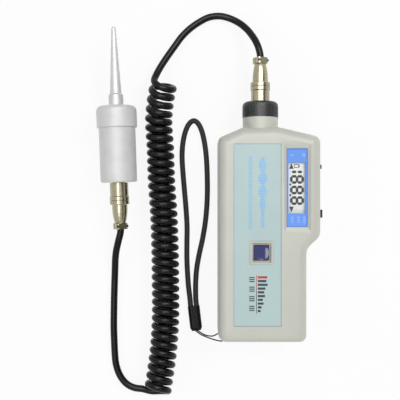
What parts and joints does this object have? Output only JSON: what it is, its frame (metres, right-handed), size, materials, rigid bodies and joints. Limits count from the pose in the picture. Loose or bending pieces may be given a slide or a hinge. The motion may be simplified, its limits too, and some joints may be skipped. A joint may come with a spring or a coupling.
{
  "type": "handheld vibration meter",
  "caption": "Handheld vibration meter lying on its back: stepped case with a round neck, display window, label and square button, a curly cord to a pencil-tipped probe, and a wrist strap.",
  "frame": {"origin": "on the case's back face, under the neck's axis, at the height of the step between head and grip", "axes": "+Y along the case towards the neck and cord, +Z out of the display, +X to the side where the head is wider; the meter lies on its back on z = 0"},
  "size_m": [0.1545, 0.268, 0.03],
  "materials": {
    "case_front": "painted grey, satin",
    "case_rear": "painted grey, satin",
    "battery_jacket": "printed jacket",
    "black_plastic": "satin",
    "black_rubber_lead": "satin",
    "board": "solder mask",
    "chip": "matt",
    "screw_steel": "turned",
    "display_glass": "clear over a grey reflector",
    "holder_plastic": "matt",
    "contact_rubber": "matt",
    "display_window": "clear with a printed blue border",
    "label": "printed, matt",
    "navy_plastic": "polished",
    "collar": "ribbed, satin",
    "nickel": "nickel plated, satin",
    "connector_insulator": "moulded",
    "cord_rubber": "satin",
    "probe_metal": "fine turned, satin",
    "tip_metal": "fine turned",
    "sensor_brass": "turned",
    "sensor_ceramic": "silvered faces",
    "sensor_steel": "turned",
    "strap_braid": "braided",
    "ferrule_plastic": "moulded"
  },
  "bodies": {
    "meter": {"front_case": "case_front", "rear_case": "case_rear", "battery_9v": "battery_jacket", "battery_snap": "black_plastic", "battery_leads": "black_rubber_lead", "circuit_board": "board", "board_chips": "chip", "board_screws": "screw_steel", "lcd_glass": "display_glass", "lcd_holder": "holder_plastic", "lcd_contact_strips": "contact_rubber", "display_window": "display_window", "label_panel": "label", "button_switch": "black_plastic", "range_switch_body": "black_plastic", "function_switch_body": "black_plastic", "collar_ring": "collar", "meter_jack": "nickel", "meter_jack_insert": "connector_insulator", "meter_jack_nut": "nickel", "case_screws": "screw_steel", "meter_plug_shell": "nickel", "meter_plug_insert": "connector_insulator", "meter_plug_clamp": "nickel", "meter_plug_screws": "screw_steel", "cord_arch": "cord_rubber", "cord_coil": "cord_rubber", "cord_tail": "cord_rubber", "probe_plug_shell": "nickel", "probe_plug_insert": "connector_insulator", "probe_plug_clamp": "nickel", "probe_plug_screws": "screw_steel", "strap_loop": "strap_braid", "strap_ferrule": "ferrule_plastic", "strap_string": "strap_braid"},
    "measure_button": {"button_cap": "navy_plastic", "button_plunger": "holder_plastic"},
    "range_switch": {"range_switch_knob": "black_plastic"},
    "function_switch": {"function_switch_knob": "black_plastic"},
    "battery_door": {"battery_door": "case_rear"},
    "meter_plug_sleeve": {"meter_plug_sleeve": "nickel"},
    "probe_plug_sleeve": {"probe_plug_sleeve": "nickel"},
    "probe": {"probe_tip": "tip_metal", "probe_cap": "probe_metal", "probe_body": "probe_metal", "probe_end_plate": "probe_metal", "probe_end_screws": "screw_steel", "probe_jack": "nickel", "probe_jack_insert": "connector_insulator", "probe_jack_nut": "nickel", "sensor_base": "sensor_brass", "piezo_rings": "sensor_ceramic", "seismic_mass": "sensor_brass", "sensor_bolt": "sensor_steel"}
  },
  "joints": [
    {"name": "press_button", "type": "slide", "parent": "meter", "child": "measure_button", "axis": [0, 0, -1], "range_m": [0, 0.001], "stiffness_N_per_m": 1000, "springref_m": -0.0005},
    {"name": "slide_range_switch", "type": "slide", "parent": "meter", "child": "range_switch", "axis": [0, 1, 0], "range_m": [-0.00125, 0.00125]},
    {"name": "slide_function_switch", "type": "slide", "parent": "meter", "child": "function_switch", "axis": [0, 1, 0], "range_m": [-0.00125, 0.00125]},
    {"name": "open_battery_door", "type": "slide", "parent": "meter", "child": "battery_door", "axis": [0, -1, 0], "range_m": [0, 0.04]},
    {"name": "pull_meter_plug_sleeve", "type": "slide", "parent": "meter", "child": "meter_plug_sleeve", "axis": [0, 1, 0], "range_m": [0, 0.002], "stiffness_N_per_m": 1500, "springref_m": -0.001},
    {"name": "pull_probe_plug_sleeve", "type": "slide", "parent": "meter", "child": "probe_plug_sleeve", "axis": [0.0314, -0.9989, -0.0346], "range_m": [0, 0.002], "stiffness_N_per_m": 1500, "springref_m": -0.001},
    {"name": "pull_probe_off", "type": "slide", "parent": "meter", "child": "probe", "axis": [-0.0314, 0.9989, 0.0346], "range_m": [0, 0.02]}
  ]
}
